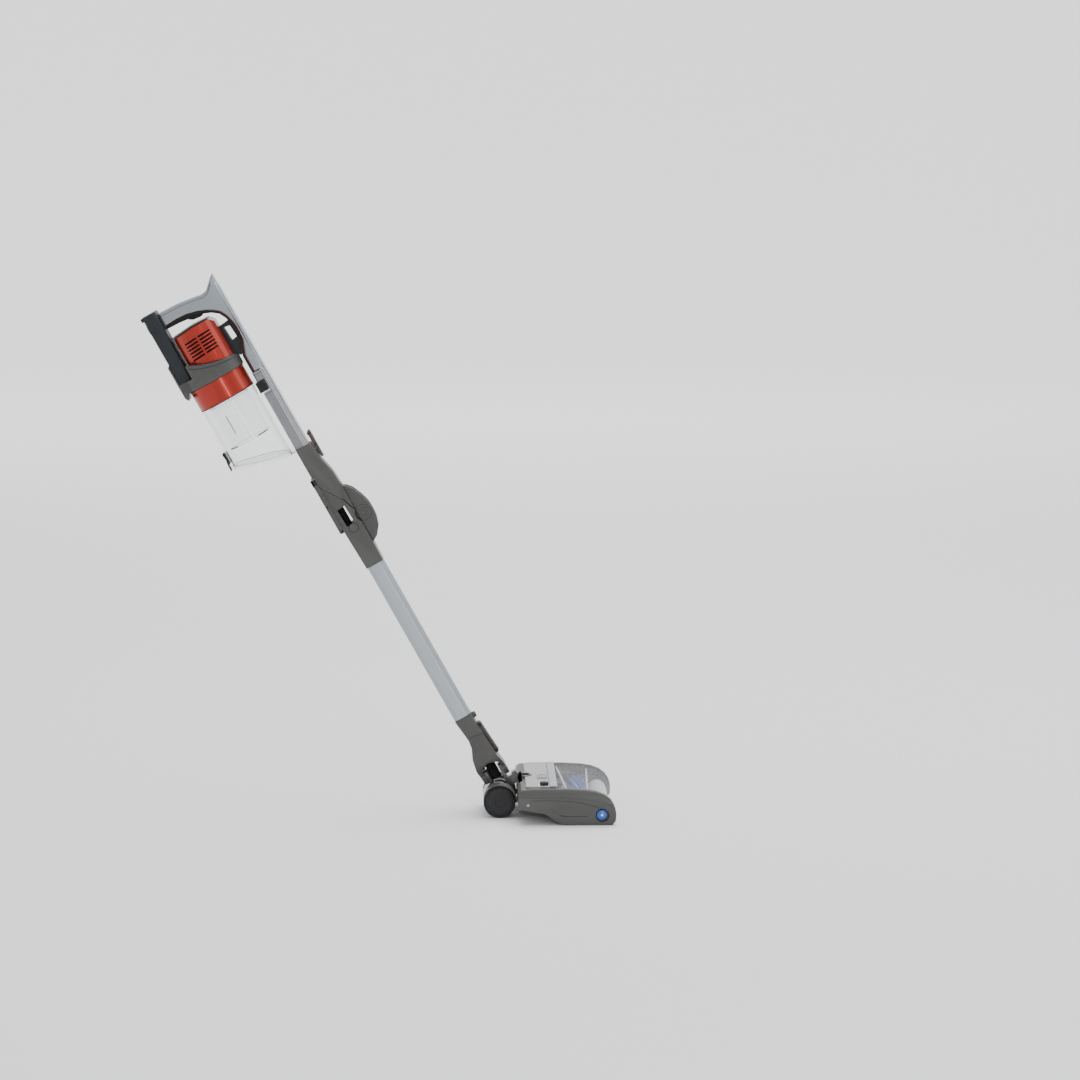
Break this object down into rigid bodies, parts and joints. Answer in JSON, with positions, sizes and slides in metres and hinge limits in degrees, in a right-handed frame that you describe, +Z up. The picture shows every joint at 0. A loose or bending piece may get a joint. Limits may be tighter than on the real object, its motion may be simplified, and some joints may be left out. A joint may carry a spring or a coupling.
{
  "type": "cordless stick vacuum",
  "caption": "cordless stick vacuum with a bagless cup under a loop handle, a folding wand and a wide two-roller floor head, stored in its leaning working pose",
  "frame": {"origin": "on the floor under the centre of the whole vacuum's box", "axes": "+X is forward, the way the floor head faces; +Y is to the left; +Z is up. The wand leans back towards -X by 29 degrees."},
  "size_m": [0.8792, 0.251, 1.0224],
  "materials": {
    "silver": "metallic silver lacquer on ABS",
    "grey": "satin grey ABS",
    "dark": "satin dark slate ABS",
    "black": "matt black",
    "copper_red": "metallic copper red lacquer",
    "clear": "clear polycarbonate",
    "plate": "light grey",
    "blue": "blue",
    "steel": "turned steel",
    "brown": "satin brown grey",
    "foam": "filter foam",
    "rubber": "soft black",
    "pile": "short soft pile"
  },
  "bodies": {
    "hand_unit": {"handle_shell_right": "silver", "handle_shell_left": "silver", "handle_liner": "rubber", "front_trim": "silver", "spine_tube": "silver", "bridge_bracket": "black", "motor_housing": "copper_red", "motor_cap": "grey", "motor_can": "steel", "premotor_filter": "foam", "main_collar": "grey", "fold_upper_housing": "grey"},
    "fan": {"fan_impeller": "dark"},
    "trigger": {"power_trigger": "dark"},
    "battery": {"battery_case": "dark", "battery_cap": "dark", "cell_pack": "blue"},
    "battery_catch": {"battery_button": "black"},
    "cup": {"cup_ring": "copper_red", "cup_wall": "clear", "door_hinge_pin": "steel", "cyclone_shroud": "clear", "cyclone_cone": "silver"},
    "door": {"cup_door": "clear"},
    "door_catch": {"door_latch": "black"},
    "cup_catch": {"cup_release_button": "dark"},
    "wand_catch": {"wand_release_lever": "brown"},
    "lower_wand": {"fold_lower_housing": "grey", "hinge_cover_left": "grey", "hinge_cover_right": "grey", "fold_pin": "grey", "fold_hose": "rubber", "wand_tube": "silver", "neck_housing": "grey", "neck_hose": "rubber", "steer_pin_front": "steel", "steer_pin_back": "steel"},
    "fold_catch": {"fold_release_lever": "grey"},
    "pedal": {"nozzle_release_pedal": "brown"},
    "yoke": {"yoke": "grey"},
    "head": {"head_base": "grey", "head_cover": "grey", "head_window": "clear", "top_plate": "plate", "trim_bar": "silver", "roller_hood": "grey", "brush_motor": "steel", "air_duct": "dark", "axle": "steel", "drive_belt": "rubber"},
    "brush": {"brush_roller": "blue"},
    "pinion": {"motor_pinion": "dark"},
    "soft": {"soft_roller": "pile", "roller_cap": "blue"},
    "wheel_left": {"wheel_hub_left": "dark", "wheel_tyre_left": "rubber"},
    "wheel_right": {"wheel_hub_right": "dark", "wheel_tyre_right": "rubber"},
    "head_catch": {"roller_latch": "plate"},
    "knob": {"lock_knob": "black"}
  },
  "joints": [
    {"name": "fan_spin", "type": "hinge", "parent": "hand_unit", "child": "fan", "pos_m": [-0.31647, 0.0005, 0.87456], "axis": [-0.4848, 0, 0.8746], "continuous": true},
    {"name": "trigger_press", "type": "slide", "parent": "hand_unit", "child": "trigger", "axis": [-0.4848, 0, 0.8746], "range_m": [0, 0.0025], "stiffness_N_per_m": 600, "springref_m": -0.003},
    {"name": "battery_slide", "type": "slide", "parent": "hand_unit", "child": "battery", "axis": [-0.4848, 0, 0.8746], "range_m": [0, 0.11]},
    {"name": "battery_button_press", "type": "slide", "parent": "battery", "child": "battery_catch", "axis": [0.8746, 0, 0.4848], "range_m": [0, 0.002], "stiffness_N_per_m": 800, "springref_m": -0.003},
    {"name": "cup_slide", "type": "slide", "parent": "hand_unit", "child": "cup", "axis": [0.4848, 0, -0.8746], "range_m": [0, 0.05]},
    {"name": "cup_door_swing", "type": "hinge", "parent": "cup", "child": "door", "pos_m": [-0.15878, 0.0005, 0.68848], "axis": [0, -1, 0], "range_deg": [0, 90]},
    {"name": "door_latch_press", "type": "hinge", "parent": "cup", "child": "door_catch", "pos_m": [-0.28567, 0.0005, 0.67668], "axis": [0, 1, 0], "range_deg": [0, 5], "stiffness_Nm_per_rad": 0.5, "springref_deg": -5.73},
    {"name": "cup_button_press", "type": "slide", "parent": "hand_unit", "child": "cup_catch", "axis": [0.4848, 0, -0.8746], "range_m": [0, 0.002], "stiffness_N_per_m": 800, "springref_m": -0.003},
    {"name": "wand_lever_press", "type": "hinge", "parent": "hand_unit", "child": "wand_catch", "pos_m": [-0.11442, 0.0005, 0.69157], "axis": [0, -1, 0], "range_deg": [0, 3], "stiffness_Nm_per_rad": 0.8, "springref_deg": -5.73},
    {"name": "fold", "type": "hinge", "parent": "hand_unit", "child": "lower_wand", "pos_m": [-0.02984, 0.0005, 0.5761], "axis": [0, -1, 0], "range_deg": [0, 160], "deforming": ["fold_hose"]},
    {"name": "fold_lever_press", "type": "slide", "parent": "lower_wand", "child": "fold_catch", "axis": [0.4848, 0, -0.8746], "range_m": [0, 0.003], "stiffness_N_per_m": 700, "springref_m": -0.003},
    {"name": "pedal_press", "type": "hinge", "parent": "lower_wand", "child": "pedal", "pos_m": [0.1857, 0.0005, 0.17077], "axis": [0, 1, 0], "range_deg": [0, 3], "stiffness_Nm_per_rad": 1.5, "springref_deg": -5.73},
    {"name": "steer", "type": "hinge", "parent": "lower_wand", "child": "yoke", "pos_m": [0.21387, 0.0005, 0.07663], "axis": [0.8746, 0, 0.4848], "range_deg": [-45, 45], "deforming": ["neck_hose"]},
    {"name": "lean", "type": "hinge", "parent": "yoke", "child": "head", "pos_m": [0.22257, 0.0005, 0.03], "axis": [0, 1, 0], "range_deg": [-29, 50]},
    {"name": "brush_spin", "type": "hinge", "parent": "head", "child": "brush", "pos_m": [0.36957, 0.0005, 0.028], "axis": [0, 1, 0], "continuous": true},
    {"name": "pinion_spin", "type": "hinge", "parent": "head", "child": "pinion", "pos_m": [0.30457, 0.1065, 0.046], "axis": [0, 1, 0], "continuous": true},
    {"name": "soft_spin", "type": "hinge", "parent": "head", "child": "soft", "pos_m": [0.41207, 0.0005, 0.0195], "axis": [0, 1, 0], "continuous": true},
    {"name": "wheel_left_spin", "type": "hinge", "parent": "head", "child": "wheel_left", "pos_m": [0.22257, 0.0495, 0.03], "axis": [0, 1, 0], "continuous": true},
    {"name": "wheel_right_spin", "type": "hinge", "parent": "head", "child": "wheel_right", "pos_m": [0.22257, -0.0485, 0.03], "axis": [0, 1, 0], "continuous": true},
    {"name": "head_latch_press", "type": "slide", "parent": "head", "child": "head_catch", "axis": [0, 0, -1], "range_m": [0, 0.0015], "stiffness_N_per_m": 800, "springref_m": -0.003},
    {"name": "lock_knob_turn", "type": "hinge", "parent": "head", "child": "knob", "pos_m": [0.30557, -0.0955, 0.073], "axis": [0, 0, 1], "range_deg": [0, 90]}
  ],
  "couplings": [
    {"joint": "pinion_spin", "follows": "brush_spin", "ratio": 1.5}
  ]
}
